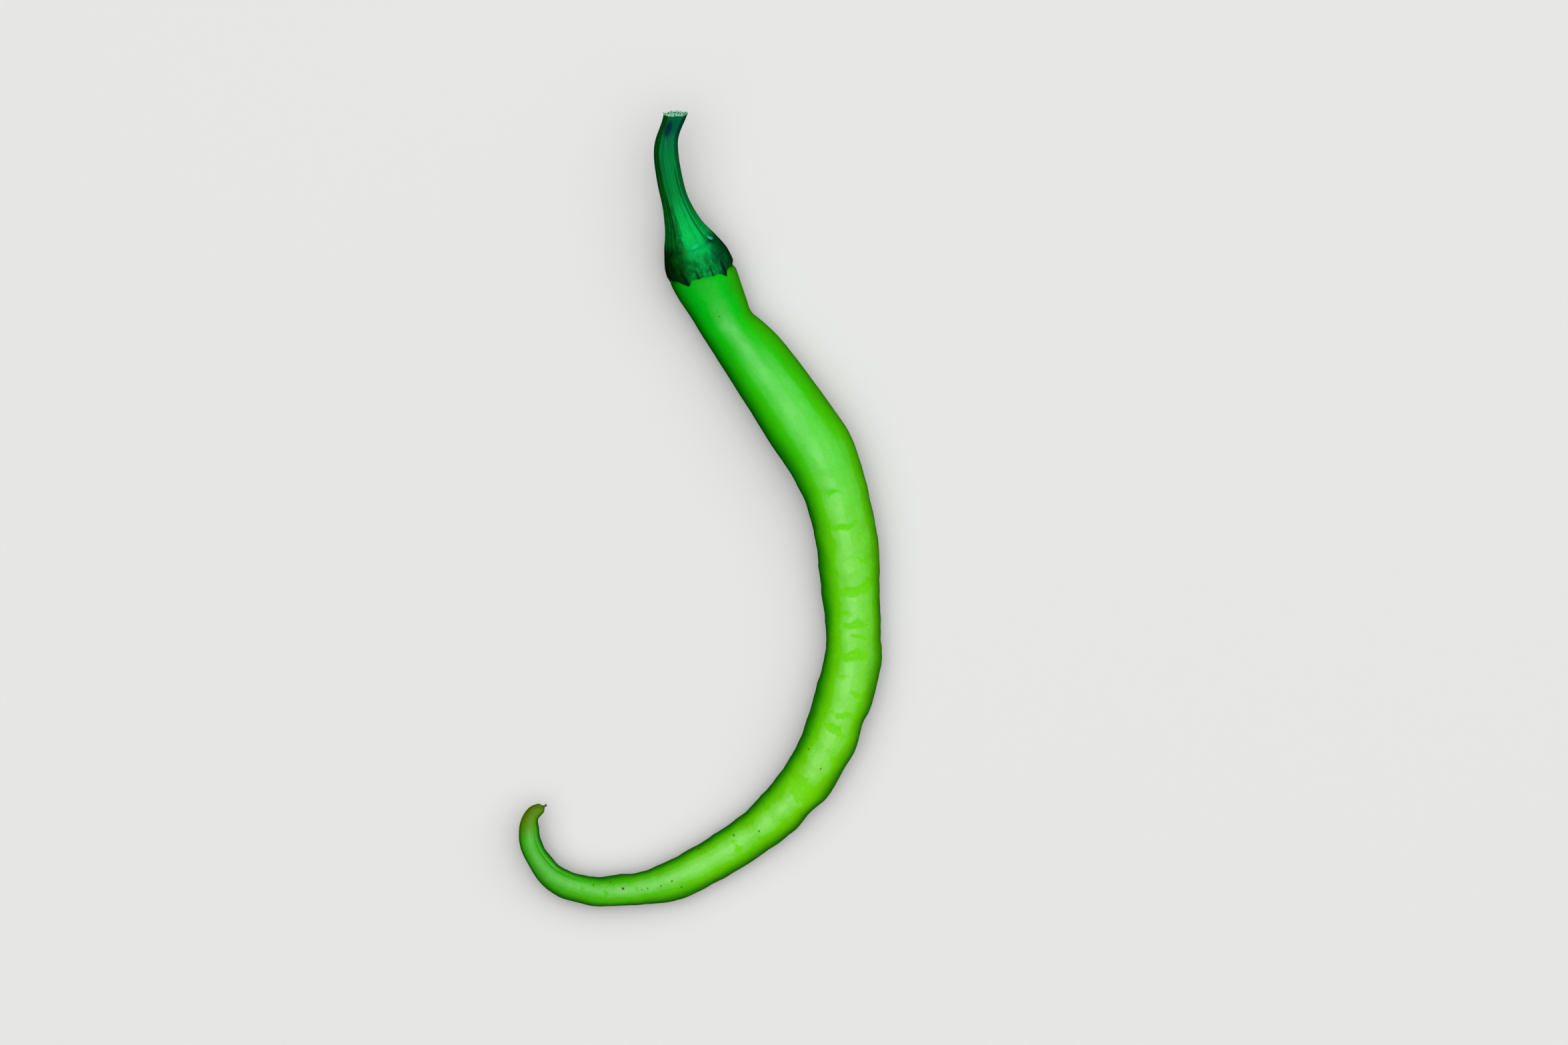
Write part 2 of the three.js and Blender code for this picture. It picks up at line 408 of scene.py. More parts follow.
def mixColour(tree, factor, a, b, blend="MIX"):
    node = tree.add("ShaderNodeMix", data_type="RGBA", blend_type=blend)
    colours = [s for s in node.inputs if s.type == "RGBA"]
    tree.feed(node.inputs[0], factor)
    tree.feed(colours[0], a)
    tree.feed(colours[1], b)
    return [s for s in node.outputs if s.type == "RGBA"][0]


def tinted(tree, colour, tint):
    return mixColour(tree, 1.0, colour, linear(*tint), "MULTIPLY")


def wandering(tree, noise, amount, value):
    # a value that strays to both sides by a noise
    return tree.math("MULTIPLY_ADD", tree.math("SUBTRACT", noise, 0.5), amount, value)


def noiseOn(tree, vector, scale, detail=2.0, roughness=0.5):
    inputs = {"Vector": vector, "Scale": scale, "Detail": detail, "Roughness": roughness}
    return tree.add("ShaderNodeTexNoise", inputs).outputs[0]


def stretched(tree, vector, along, across):
    # skin coordinates divided by a length in mm along the pepper and another across it
    x, y, z = tree.split(vector)
    return tree.join(
        tree.math("DIVIDE", x, along * mm),
        tree.math("DIVIDE", y, across * mm),
        tree.math("DIVIDE", z, across * mm),
    )


def namedAttribute(tree, name):
    node = tree.add("ShaderNodeAttribute")
    node.attribute_type = "GEOMETRY"
    node.attribute_name = name
    return node


def spotMask(tree, skin, distance, side, radius, edge=0.35):
    # 1 inside a round spot on the top of the skin, given in straight millimetres
    x, y, z = tree.split(skin)
    flat = tree.join(x, y, 0.0)
    away = tree.vector("DISTANCE", flat, (distance * mm, side * mm, 0.0))
    facingUp = tree.between(z, 0.0, 0.5 * mm)
    mask = tree.between(away, radius * mm * (1 + edge), radius * mm * (1 - edge))
    return tree.times(mask, facingUp)


routeObject = makeRouteObject()
layTree = makeLayTree()
print("route and tree made,", len(routeObject.data.vertices), "points")

# pod
pod = {
    "start": 29.85, "end": 222.8,
    "rings": 640, "sides": 120,
    "shoulder": 1.7,  # length of the rounded shoulder under the calyx
    "tipRound": 0.5,
    "calyxRoom": 0.6,  # how far the shoulder is drawn in under the calyx
    "lobes": 0.012, "lobeLength": 46,
    # (distance, degrees from the top, height, reach, spread), in mm and degrees
    "knuckles": [
        (42, 85, -0.15, 2, 40), (45.3, 82, -0.6, 2.1, 45), (45, -90, 0.24, 3, 40),
        (53, -90, -0.2, 4, 40), (53, 85, 0.25, 4, 40),
        (57, 80, 0.15, 5, 40), (71, -90, 0.15, 5, 40), (77, 80, 0.3, 3.5, 40), (86, -90, -0.3, 6, 45),
        (103, -90, 0.25, 6, 45), (103, 88, -0.3, 5, 45), (107.5, 90, -0.25, 2.5, 40),
        (107, -85, 0.2, 3, 35), (118, -90, -0.4, 6, 45), (119.5, 90, 0.35, 3, 40), (128, -90, 0.3, 4, 35),
        (132, 90, -0.65, 2.8, 35), (135, -85, 0.15, 2.5, 35), (142, 90, -0.2, 2.5, 35),
        (141, -90, -0.15, 2.5, 35), (147, 85, 0.15, 2, 35), (149.5, -90, -0.2, 2.5, 35),
        (151, 90, -0.3, 2.2, 35), (146.5, -90, -0.15, 2, 35), (160, -90, -0.1, 3, 40),
        (144.5, 90, 0.25, 2, 40), (178.5, -90, -0.25, 4, 40), (196, -90, -0.22, 2.5, 40),
        (220.5, -90, -0.25, 2.5, 45),
        (171, 90, -0.12, 8, 40), (180, 90, 0.42, 4, 40), (187, -90, -0.2, 3, 40), (192, 90, -0.5, 5, 40),
        (192, -90, 0.32, 3, 35), (203, -90, -0.45, 4, 45), (205, 90, 0.3, 4, 40), (211, 90, -0.2, 3, 40),
    ],
    "creaseDepth": 0.6,
    # shallow creases across the top: (distance, degrees from the top, depth, reach, spread)
    "creases": [
        (85.3, -6, 0.12, 0.8, 26), (92.6, 2, 0.16, 0.8, 34), (94.8, 30, 0.1, 0.9, 16),
        (100.2, 24, 0.1, 0.8, 22), (105.8, 2, 0.2, 1.1, 44), (110.6, -14, 0.1, 0.9, 24),
        (113.2, 2, 0.16, 0.9, 34), (115.6, 14, 0.12, 0.8, 24), (119.5, 2, 0.2, 1.1, 40),
        (124, -20, 0.1, 0.8, 20), (127, 22, 0.12, 0.9, 22), (131.5, 8, 0.14, 0.9, 32),
        (134.8, -4, 0.18, 1, 30), (140, 24, 0.1, 0.9, 22), (147.8, 0, 0.17, 2.6, 60),
        (156, 14, 0.1, 0.9, 30), (161, -14, 0.08, 0.9, 26), (166, 4, 0.12, 1, 36),
        (172, -18, 0.07, 0.8, 26), (180.5, 14, 0.08, 0.9, 30), (188, -4, 0.08, 0.9, 34),
        (195, 6, 0.1, 0.9, 36), (199.5, -6, 0.08, 0.8, 34), (206, 8, 0.06, 0.8, 30),
    ],
    "tipGroove": {"from": 199, "to": 219, "angle": -36, "depth": 0.2, "spread": 8},
    "rippleHeight": 0.68, "rippleLength": 3.8, "rippleWidth": 7, "rippleFrom": 52, "rippleTo": 92,
    "grainHeight": 0.03, "grainLength": 1.6, "grainWidth": 1.3,
    "seed": 4.0,
}


# where the calyx ends on the pod: (degrees from the top, distance)
rimLine = [
    (-180, 33.2), (-120, 32.2), (-90, 31.8), (-60, 32.8), (-33, 33.7), (0, 34.5), (20, 35), (40, 35.1),
    (65, 34.8), (90, 34.3), (130, 33.8), (180, 33.2),
]


def rimAt(angles):
    return through(rimLine, turnedBy(angles, 0))


def underCalyx(distance, angles):
    # the pod's radius with its rounded shoulder, drawn in where the calyx covers it
    rim = rimAt(angles)
    drawnIn = pod["calyxRoom"] * (1 - smoothstep(distance, rim - 0.6, rim + 1.8))
    rounded = np.clip((distance - pod["start"]) / pod["shoulder"], 0, 1)
    return (halfWidth(distance) - drawnIn) * np.sqrt(1 - (1 - rounded) ** 2)


def makePodShape():
    angles = np.linspace(0, 2 * math.pi, pod["sides"], endpoint=False)[None, :]
    distance = alongPiece(pod["start"], pod["end"], pod["rings"], crowd=0.25)[:, None]
    pointed = np.clip((pod["end"] - distance) / pod["tipRound"], 0, 1)
    radius = underCalyx(distance, angles) * np.sqrt(1 - (1 - pointed) ** 2)
    turn = distance / pod["lobeLength"]
    lobes = np.cos(2 * angles - turn) + 0.7 * np.cos(3 * angles + 1.7 * turn)
    radius = radius * (1 + pod["lobes"] * lobes)
    for place, angle, height, reach, spread in pod["knuckles"]:
        radius = radius + height * bump(distance, angles, place, angle, reach, spread)
    crease = np.zeros_like(radius)
    for place, angle, depth, reach, spread in pod["creases"]:
        wavy = distance + 0.3 * np.sin(5 * angles + place) + 0.12 * np.sin(11 * angles + 2 * place)
        crease = crease + depth * bump(wavy, angles, place, angle, reach, spread)
    radius = radius - crease * pod["creaseDepth"]
    groove = pod["tipGroove"]
    middle = (groove["from"] + groove["to"]) / 2
    half = (groove["to"] - groove["from"]) / 2
    line = np.exp(-((turnedBy(angles, groove["angle"]) / groove["spread"]) ** 2))
    radius = radius - groove["depth"] * line * np.clip(1 - ((distance - middle) / half) ** 2, 0, 1)
    distance = np.broadcast_to(distance, radius.shape)
    return ringMesh("pod_skin", distance, np.maximum(radius, 0.02), angles, {"crease": crease})


# colours along the pod: (distance, red, green, blue)
podColours = {
    "along": [
        (30, 0, 150, 10), (37, 0, 180, 22), (45, 4, 184, 14), (58, 44, 196, 4), (70, 60, 202, 2),
        (82, 76, 204, 4), (96, 96, 207, 2), (120, 100, 206, 0), (150, 106, 206, 0), (175, 98, 204, 6),
        (195, 72, 186, 14), (209, 62, 172, 30), (215, 60, 168, 18), (217.5, 70, 160, 6),
        (219, 74, 138, 0), (222.8, 78, 128, 0),
    ],
    # the inner and innermost tints are painted shade on the inner flank, the outer tint painted light on
    # the outer flank, the underside tint painted shade on the outer flank towards the tip
    "inner": (140, 224, 90), "innermost": (170, 200, 180),
    "outer": (236, 246, 60), "undersideShade": (130, 186, 100), "patch": (250, 246, 150),
    # the crease tint is painted shade in the creases
    "tip": (88, 118, 2), "creaseShade": (255, 255, 110), "speck": (46, 74, 6), "speckRing": (84, 150, 0),
    "specks": [  # (distance, side, radius)
        (42.8, -0.9, 0.13), (142.8, 1.1, 0.13), (140.6, -3.0, 0.12), (138, -4.4, 0.12), (160.4, 0.1, 0.16),
        (165.3, -2.2, 0.18), (173.2, -3.5, 0.12), (179.7, 2.0, 0.13), (181, 0.1, 0.15), (183.4, 0.3, 0.13),
        (186.1, 0.15, 0.12), (187.4, 0.15, 0.11), (191.2, -0.65, 0.26), (193.9, -2.2, 0.13),
        (197.6, -1.3, 0.14),
    ],
    "coat": 0.8, "neckCoat": 0.1, "tipCoat": 0.5, "coatRoughness": 0.18,
}


def makePodMaterial():
    material, tree, shader = newMaterial("podSkin")
    skin = namedAttribute(tree, "skin").outputs["Vector"]
    x, y, z = tree.split(skin)
    # a slow wander in where one green turns to the next
    wander = tree.math("SUBTRACT", noiseOn(tree, stretched(tree, skin, 14, 7), 1.0), 0.5)
    shifted = tree.math("MULTIPLY_ADD", wander, 12 * mm, x)
    place = tree.math("DIVIDE", shifted, pod["end"] * mm, clamp=True)
    stops = [(s / pod["end"], linear(r, g, b)) for s, r, g, b in podColours["along"]]
    colour = colourRamp(tree, place, stops, "LINEAR")
    # painted shade makes the inner flank a deeper green, painted light the outer one a yellower green down
    # to the bend
    angle = tree.math("ARCTAN2", y, z)
    stray = tree.math("MULTIPLY_ADD", wander, 0.5, angle)
    inner = tree.between(stray, -22 * degrees, -75 * degrees)
    innerShade = tinted(tree, colour, podColours["inner"])
    colour = mixColour(tree, inner, colour, innerShade)
    innermostShadeMask = tree.between(stray, -36 * degrees, -78 * degrees)
    colour = mixColour(tree, innermostShadeMask, colour, tinted(tree, colour, podColours["innermost"]))
    # painted light yellows the outer flank down to the bend
    outer = tree.times(
        tree.between(stray, 25 * degrees, 70 * degrees), tree.between(x, 135 * mm, 60 * mm)
    )
    paintedOuterLight = tinted(tree, colour, podColours["outer"])
    paintedOuterLight = mixColour(tree, 1.0, paintedOuterLight, (0.03, 0.0, 0.0, 1), "ADD")
    colour = mixColour(tree, outer, colour, paintedOuterLight)
    # painted shade darkens the outer flank from the middle to the tip
    lower = tree.times(
        tree.between(stray, 28 * degrees, 72 * degrees), tree.between(x, 90 * mm, 150 * mm, 0.55, 1.0)
    )
    lower = tree.times(lower, tree.between(x, 84 * mm, 104 * mm))
    colour = mixColour(tree, lower, colour, tinted(tree, colour, podColours["undersideShade"]))
    patches = noiseOn(tree, stretched(tree, skin, 5, 3.4), 1.0, 3.0)
    yellower = tinted(tree, colour, podColours["patch"])
    colour = mixColour(tree, tree.between(patches, 0.48, 0.7, 0.0, 0.6), colour, yellower)
    # creases cut the gloss and get painted shade, a purer green with the blue taken out
    crease = namedAttribute(tree, "crease").outputs["Fac"]
    tears = noiseOn(tree, stretched(tree, skin, 1.1, 1.7), 1.0, 2.0, 0.6)
    ragged = wandering(tree, tears, 0.22, crease)
    inCrease = tree.between(ragged, 0.058, 0.105)
    shadedCrease = tinted(tree, colour, podColours["creaseShade"])
    colour = mixColour(tree, inCrease, colour, shadedCrease)
    # olive over the top and outer side of the hooked tip
    byTip = tree.times(
        tree.between(x, 214.5 * mm, 219 * mm), tree.between(stray, -50 * degrees, 10 * degrees)
    )
    colour = mixColour(tree, tree.times(byTip, 0.8), colour, linear(*podColours["tip"]))
    # fine cells under the wax
    cells = noiseOn(tree, stretched(tree, skin, 0.5, 0.45), 1.0, 2.0, 0.6)
    grey = colourRamp(tree, cells, [(0.3, (0.95, 0.95, 0.95, 1)), (0.7, (1.04, 1.04, 1.04, 1))])
    colour = mixColour(tree, 1.0, colour, grey, "MULTIPLY")
    spots = 0.0
    for distance, side, radius in podColours["specks"]:
        ring = tree.times(spotMask(tree, skin, distance, side, radius * 2.2, 0.5), 0.4)
        colour = mixColour(tree, ring, colour, linear(*podColours["speckRing"]))
        spot = tree.times(spotMask(tree, skin, distance, side, radius), 0.9)
        colour = mixColour(tree, spot, colour, linear(*podColours["speck"]))
        spots = tree.math("MAXIMUM", spots, spot)
    tree.feed(shader.inputs["Base Color"], colour)
    worn = noiseOn(tree, stretched(tree, skin, 3, 2), 1.0, 3.0)
    tree.feed(shader.inputs["Roughness"], tree.between(worn, 0.3, 0.7, 0.42, 0.52))
    shader.inputs["Specular IOR Level"].default_value = 0.05
    # on the neck only the top is waxy
    fromTop = tree.math("ABSOLUTE", tree.math("ADD", stray, 2 * degrees))
    wide = tree.between(x, 46 * mm, 62 * mm)
    waxy = tree.math("MAXIMUM", tree.between(fromTop, 30 * degrees, 8 * degrees), wide)
    upTheNeck = tree.between(x, 35 * mm, 46 * mm, podColours["neckCoat"], podColours["coat"])
    glossy = tree.times(waxy, upTheNeck)
    glossy = tree.times(glossy, tree.between(x, 186 * mm, 212 * mm, 1.0, podColours["tipCoat"]))
    glossy = tree.times(glossy, tree.between(x, 215.5 * mm, 219 * mm, 1.0, 0.25))
    broken = tree.math("MULTIPLY_ADD", inCrease, -0.9, 1.0)
    uneven = tree.between(patches, 0.34, 0.62, 1.0, 0.7)
    glossy = tree.times(tree.times(glossy, broken), uneven)
    glossy = tree.times(glossy, tree.math("SUBTRACT", 1.0, spots))
    tree.feed(shader.inputs["Coat Weight"], glossy)
    shader.inputs["Coat Roughness"].default_value = podColours["coatRoughness"]
    shader.inputs["Coat IOR"].default_value = 1.6
    pores = noiseOn(tree, stretched(tree, skin, 0.32, 0.28), 1.0, 2.0, 0.55)
    soft = noiseOn(tree, stretched(tree, skin, 1.5, 1.2), 1.0, 2.0)
    height = tree.math("MULTIPLY_ADD", pores, 0.25, soft)
    bumps = tree.add("ShaderNodeBump", {"Strength": 0.3, "Distance": 0.05 * mm, "Height": height})
    tree.link(bumps.outputs[0], shader.inputs["Normal"])
    tree.link(bumps.outputs[0], shader.inputs["Coat Normal"])
    return material


podPiece = layPiece(makePodShape(), pod, makePodMaterial())
print("pod made,", len(podPiece.data.polygons), "faces")

# stem
stem = {
    "start": 0.3, "end": 28.95,
    "rings": 230, "sides": 150,
    "cutTilt": -0.12, "cutLean": -0.4,  # slope of the torn face, upwards and to its outer side
    "fiveSided": 0.3,  # 0 is round, 1 a true pentagon
    "ribHeight": 0.16, "ribSpread": 8,
    # long hollows: (from, to, degrees at from, degrees at to, depth, spread in degrees)
    "hollows": [
        (8, 30, 32, 40, 0.20, 4), (12, 30, -36, -34, 0.16, 5), (4, 29, -58, -50, 0.16, 5),
        (10, 30, -74, -66, 0.14, 5), (2, 24, -96, -88, 0.12, 6), (3, 26, 70, 66, 0.06, 7),
        (2, 28, 92, 88, 0.06, 7), (5, 30, 135, 135, 0.14, 9), (3, 30, 165, 160, 0.12, 7),
        (4, 30, -140, -140, 0.14, 9), (1.5, 9, -12, -20, 0.14, 7), (1, 7, 14, 18, 0.10, 6),
    ],
    "grainHeight": 0.16, "grainLength": 9, "grainWidth": 0.42,
    "rippleHeight": 0.22, "rippleLength": 6, "rippleWidth": 2.4, "rippleFrom": -1, "rippleTo": 2,
    "smoothFrom": 25, "smoothTo": 28.3,
    "seed": 11.0,
    "tornRows": 26,
    # torn fibres: how many in a square mm, and their size in mm
    "fibresPerArea": 6, "fibreLength": 0.42, "fibreRadius": 0.17, "fibreLean": 0.9,
}


def pentagon(angles, firstRidge, ridges, amount):
    # radius of a rounded polygon over that of its circle
    half = 180 / ridges
    fromFace = (np.degrees(angles) - firstRidge) % (2 * half) - half
    flat = math.cos(half * degrees) / np.cos(fromFace * degrees)
    return 1 + amount * (flat / (0.5 + 0.5 * math.cos(half * degrees)) - 1)


def makeStemShape():
    angles = np.linspace(0, 2 * math.pi, stem["sides"], endpoint=False)[None, :]
    distance = alongPiece(stem["start"], stem["end"], stem["rings"], crowd=0.3)[:, None]
    sunkEnd = 0.04 * smoothstep(distance, 28.34, 28.44) + 0.3 * smoothstep(distance, 28.5, 29)
    radius = halfWidth(distance) - sunkEnd
    amount = stem["fiveSided"] * (1 - 0.85 * smoothstep(distance, 20, route["stemFoot"]))
    radius = radius * pentagon(angles, route["firstRidge"], route["ridges"], amount)
    for i in range(route["ridges"]):
        ridge = route["firstRidge"] + i * 360 / route["ridges"]
        spread = stem["ribSpread"] * (1 - 0.4 * smoothstep(distance, 20, route["stemFoot"]))
        fade = 1 - smoothstep(distance, 25, route["stemFoot"])
        radius = radius + fade * stem["ribHeight"] * np.exp(-((turnedBy(angles, ridge) / spread) ** 2))
    hollow = np.zeros_like(radius)
    for start, end, angleFrom, angleTo, depth, spread in stem["hollows"]:
        t = np.clip((distance - start) / (end - start), 0, 1)
        angle = angleFrom + (angleTo - angleFrom) * t
        fade = smoothstep(t, 0, 0.25) * (1 - smoothstep(distance, 26.5, route["stemFoot"]))
        hollow = hollow + depth * fade * np.exp(-((turnedBy(angles, angle) / spread) ** 2))
    radius = radius - hollow
    # the torn end: rows that run in over the rough pith to the middle
    rows = np.linspace(0, 1, stem["tornRows"])[1:, None]
    inward = radius[0][None, :] * (1 - rows)
    sunk = 0.22 * np.sin(math.pi * np.clip(rows * 1.4, 0, 1)) * np.ones_like(inward)
    allRadius = np.concatenate([inward[::-1], radius])
    allDistance = np.concatenate([(stem["start"] + sunk)[::-1], np.broadcast_to(distance, radius.shape)])
    leaning = np.clip(1 - (allDistance - stem["start"]) / 4, 0, 1)
    slope = stem["cutTilt"] * np.cos(angles) + stem["cutLean"] * np.sin(angles)
    allDistance = allDistance + slope * leaning * allRadius
    behind = np.broadcast_to(distance, radius.shape) - stem["start"]
    torn = np.concatenate([np.ones_like(inward), 1 - smoothstep(behind, 0, 0.25)])
    # the foot closes flat against the calyx
    closing = np.linspace(1, 0, 8)[1:, None] * radius[-1][None, :]
    allRadius = np.concatenate([allRadius, closing])
    allDistance = np.concatenate([allDistance, np.full_like(closing, stem["end"])])
    torn = np.concatenate([torn, np.zeros_like(closing)])
    hollow = np.concatenate([np.zeros_like(inward), hollow, np.zeros_like(closing)])
    marks = {"torn": torn, "hollow": hollow}
    return ringMesh("stem_skin", allDistance, np.maximum(allRadius, 0.01), angles, marks)


# colours round the calyx, its own dark green made lighter on top by painted light and darkest on the inner
# side by painted shade: (degrees from the top, red, green, blue)
calyxColours = {
    "around": [
        (-180, 0, 84, 34), (-100, 2, 44, 8), (-60, 2, 40, 5), (-34, 0, 70, 14), (-18, 0, 108, 32),
        (0, 0, 146, 62), (18, 0, 146, 64), (30, 0, 112, 50), (48, 0, 84, 38), (75, 0, 70, 26),
        (180, 0, 84, 34),
    ],
    # the tongue's green is painted light on the calyx's top
    "litTongue": (2, 170, 76), "vein": (0, 26, 24), "edge": (30, 150, 60),
}


def calyxGreenWithPaintedLight(tree, skin):
    # the calyx's green, with painted light on top and painted shade on the inner side, and the stem's
    # brighter green running over it in a rounded tongue of painted light on top
    x, y, z = tree.split(skin)
    blotches = noiseOn(tree, stretched(tree, skin, 2.6, 1.6), 1.0, 2.0)
    angle = tree.math("ARCTAN2", y, z)
    strayed = wandering(tree, blotches, 0.9, angle)
    place = tree.math("MULTIPLY_ADD", strayed, 0.5 / math.pi, 0.5, clamp=True)
    # painted light on top and painted shade on the inner side, round the calyx
    stops = [(turn / 360 + 0.5, linear(r, g, b)) for turn, r, g, b in calyxColours["around"]]
    colour = colourRamp(tree, place, stops, "LINEAR")
    fromStem = tree.math("DIVIDE", tree.math("SUBTRACT", x, 28.3 * mm), 2.4 * mm)
    fromMiddle = tree.math("DIVIDE", tree.math("SUBTRACT", angle, 12 * degrees), 30 * degrees)
    away = tree.vector("LENGTH", tree.join(tree.math("MAXIMUM", fromStem, 0.0), fromMiddle, 0.0))
    away = wandering(tree, blotches, 0.8, away)
    return mixColour(tree, tree.between(away, 1.2, 0.4), colour, linear(*calyxColours["litTongue"]))


stemColours = {
    "along": [
        (0, 0, 96, 58), (3, 0, 88, 62), (6, 0, 112, 60), (10, 0, 122, 56), (16, 0, 130, 54),
        (21, 0, 162, 68), (25, 4, 186, 80), (28.8, 2, 176, 80),
    ],
    # shade and shadeLight are painted shade on the inner flank, groove painted shade in the hollows, outer
    # painted shade on the outer side
    "shade": (4, 66, 2), "shadeLight": (0, 96, 12), "groove": (0, 52, 22),
    "streak": (0, 34, 50), "outer": (200, 205, 200),
    "pith": (176, 246, 206), "pithDark": (16, 120, 78),
}

# a scar and painted light on the skin of stem and calyx: (distance, side, half length, half width, slant,
# colour, strength)
scarAndPaintedLight = [
    # a painted highlight where the stem's lit top ends, then a painted glint on the nick
    (27.3, 0.8, 0.5, 0.9, -0.3, (40, 205, 140), 0.5), (27.0, 4.3, 0.6, 0.3, 0.6, (40, 200, 170), 0.9),
    # a painted shadow under the nick, then a brown corky scar with its darker core
    (27.3, 3.95, 0.6, 0.22, 0.6, (0, 18, 14), 0.9), (28.0, -1.5, 0.5, 0.42, 0.0, (80, 104, 30), 0.65),
    (28.0, -1.5, 0.22, 0.16, 0.0, (20, 50, 10), 0.8),
]


def flankAt(tree, angle, x):
    # 1 on the wrinkled inner side of the stem and calyx, darkened there by painted shade
    edge = tree.between(x, 10 * mm, 27 * mm, -24 * degrees, -12 * degrees)
    return tree.between(tree.math("SUBTRACT", angle, edge), 4 * degrees, -16 * degrees)


def markOn(tree, skin, colour, marks, rough):
    # paints small soft-edged marks on the upper skin, painted glints and shadow among them
    x, y, z = tree.split(skin)
    for distance, side, halfLength, halfWide, slant, tint, strength in marks:
        along = tree.math("SUBTRACT", x, distance * mm)
        straightened = tree.math("MULTIPLY_ADD", along, -slant, y)
        across = tree.math("DIVIDE", tree.math("SUBTRACT", straightened, side * mm), halfWide * mm)
        down = tree.math("DIVIDE", along, halfLength * mm)
        away = tree.vector("LENGTH", tree.join(across, down, 0.0))
        away = wandering(tree, rough, 1.6, away)
        facingUp = tree.between(z, 0.0, 0.5 * mm)
        mask = tree.times(tree.between(away, 1.15, 0.6, 0.0, strength), facingUp)
        colour = mixColour(tree, mask, colour, linear(*tint))
    return colour


def makeStemMaterial():
    material, tree, shader = newMaterial("stemSkin")
    skin = namedAttribute(tree, "skin").outputs["Vector"]
    x, y, z = tree.split(skin)
    stops = [(s / 30, linear(r, g, b)) for s, r, g, b in stemColours["along"]]
    colour = colourRamp(tree, tree.math("DIVIDE", x, 30 * mm, clamp=True), stops, "LINEAR")
    # painted shade makes the inner flank a browner green, streaked by its wrinkles
    streaks = noiseOn(tree, stretched(tree, skin, 9, 0.34), 1.0, 3.0, 0.55)
    angle = tree.math("ARCTAN2", y, z)
    strayed = wandering(tree, streaks, 0.5, angle)
    flankShadeMask = flankAt(tree, strayed, x)
    low, high = linear(*stemColours["shade"]), linear(*stemColours["shadeLight"])
    shade = mixColour(tree, tree.between(streaks, 0.4, 0.6), low, high)
    colour = mixColour(tree, tree.times(flankShadeMask, 0.85), colour, shade)
    # painted shade darkens the outer side beyond the lit top
    outer = tree.between(angle, 36 * degrees, 60 * degrees, 0.0, 0.6)
    colour = mixColour(tree, outer, colour, tinted(tree, colour, stemColours["outer"]))
    lines = tree.between(streaks, 0.36, 0.62, 0.88, 1.04)
    colour = mixColour(tree, 1.0, colour, tree.join(lines, lines, lines), "MULTIPLY")
    # painted shade darkens the long hollows
    hollow = namedAttribute(tree, "hollow").outputs["Fac"]
    hollowShade = tree.between(hollow, 0.04, 0.2, 0.0, 0.75)
    colour = mixColour(tree, hollowShade, colour, linear(*stemColours["groove"]))
    # a bruised blue streak just behind the torn end
    across = tree.math("DIVIDE", tree.math("SUBTRACT", angle, -8 * degrees), 26 * degrees)
    down = tree.math("DIVIDE", tree.math("SUBTRACT", x, 3.4 * mm), 2.8 * mm)
    away = tree.vector("LENGTH", tree.join(across, down, 0.0))
    ragged = wandering(tree, streaks, 1.6, away)
    bruised = tree.between(ragged, 1.0, 0.4, 0.0, 0.85)
    colour = mixColour(tree, bruised, colour, linear(*stemColours["streak"]))
    # its foot takes on the green of the calyx, with its painted light and shade
    joining = wandering(tree, streaks, 3 * mm, x)
    atFoot = tree.between(joining, 25.4 * mm, 27.4 * mm)
    colour = mixColour(tree, atFoot, colour, calyxGreenWithPaintedLight(tree, skin))
    colour = markOn(tree, skin, colour, scarAndPaintedLight, streaks)
    torn = namedAttribute(tree, "torn").outputs["Fac"]
    frayed = noiseOn(tree, stretched(tree, skin, 0.35, 0.3), 1.0, 3.0, 0.6)
    edge = tree.math("ADD", torn, tree.math("MULTIPLY_ADD", frayed, 0.9, -0.45))
    low, high = linear(*stemColours["pithDark"]), linear(*stemColours["pith"])
    pithTone = mixColour(tree, tree.between(frayed, 0.35, 0.6), low, high)
    colour = mixColour(tree, tree.between(edge, 0.35, 0.6), colour, pithTone)
    tree.feed(shader.inputs["Base Color"], colour)
    tree.feed(shader.inputs["Roughness"], tree.between(streaks, 0.3, 0.7, 0.6, 0.45))
    shader.inputs["Specular IOR Level"].default_value = 0.03
    fibres = noiseOn(tree, stretched(tree, skin, 4, 0.16), 1.0, 3.0, 0.6)
    height = tree.math("MULTIPLY_ADD", streaks, 1.5, fibres)
    bumps = tree.add("ShaderNodeBump", {"Strength": 0.45, "Distance": 0.12 * mm, "Height": height})
    tree.link(bumps.outputs[0], shader.inputs["Normal"])
    return material


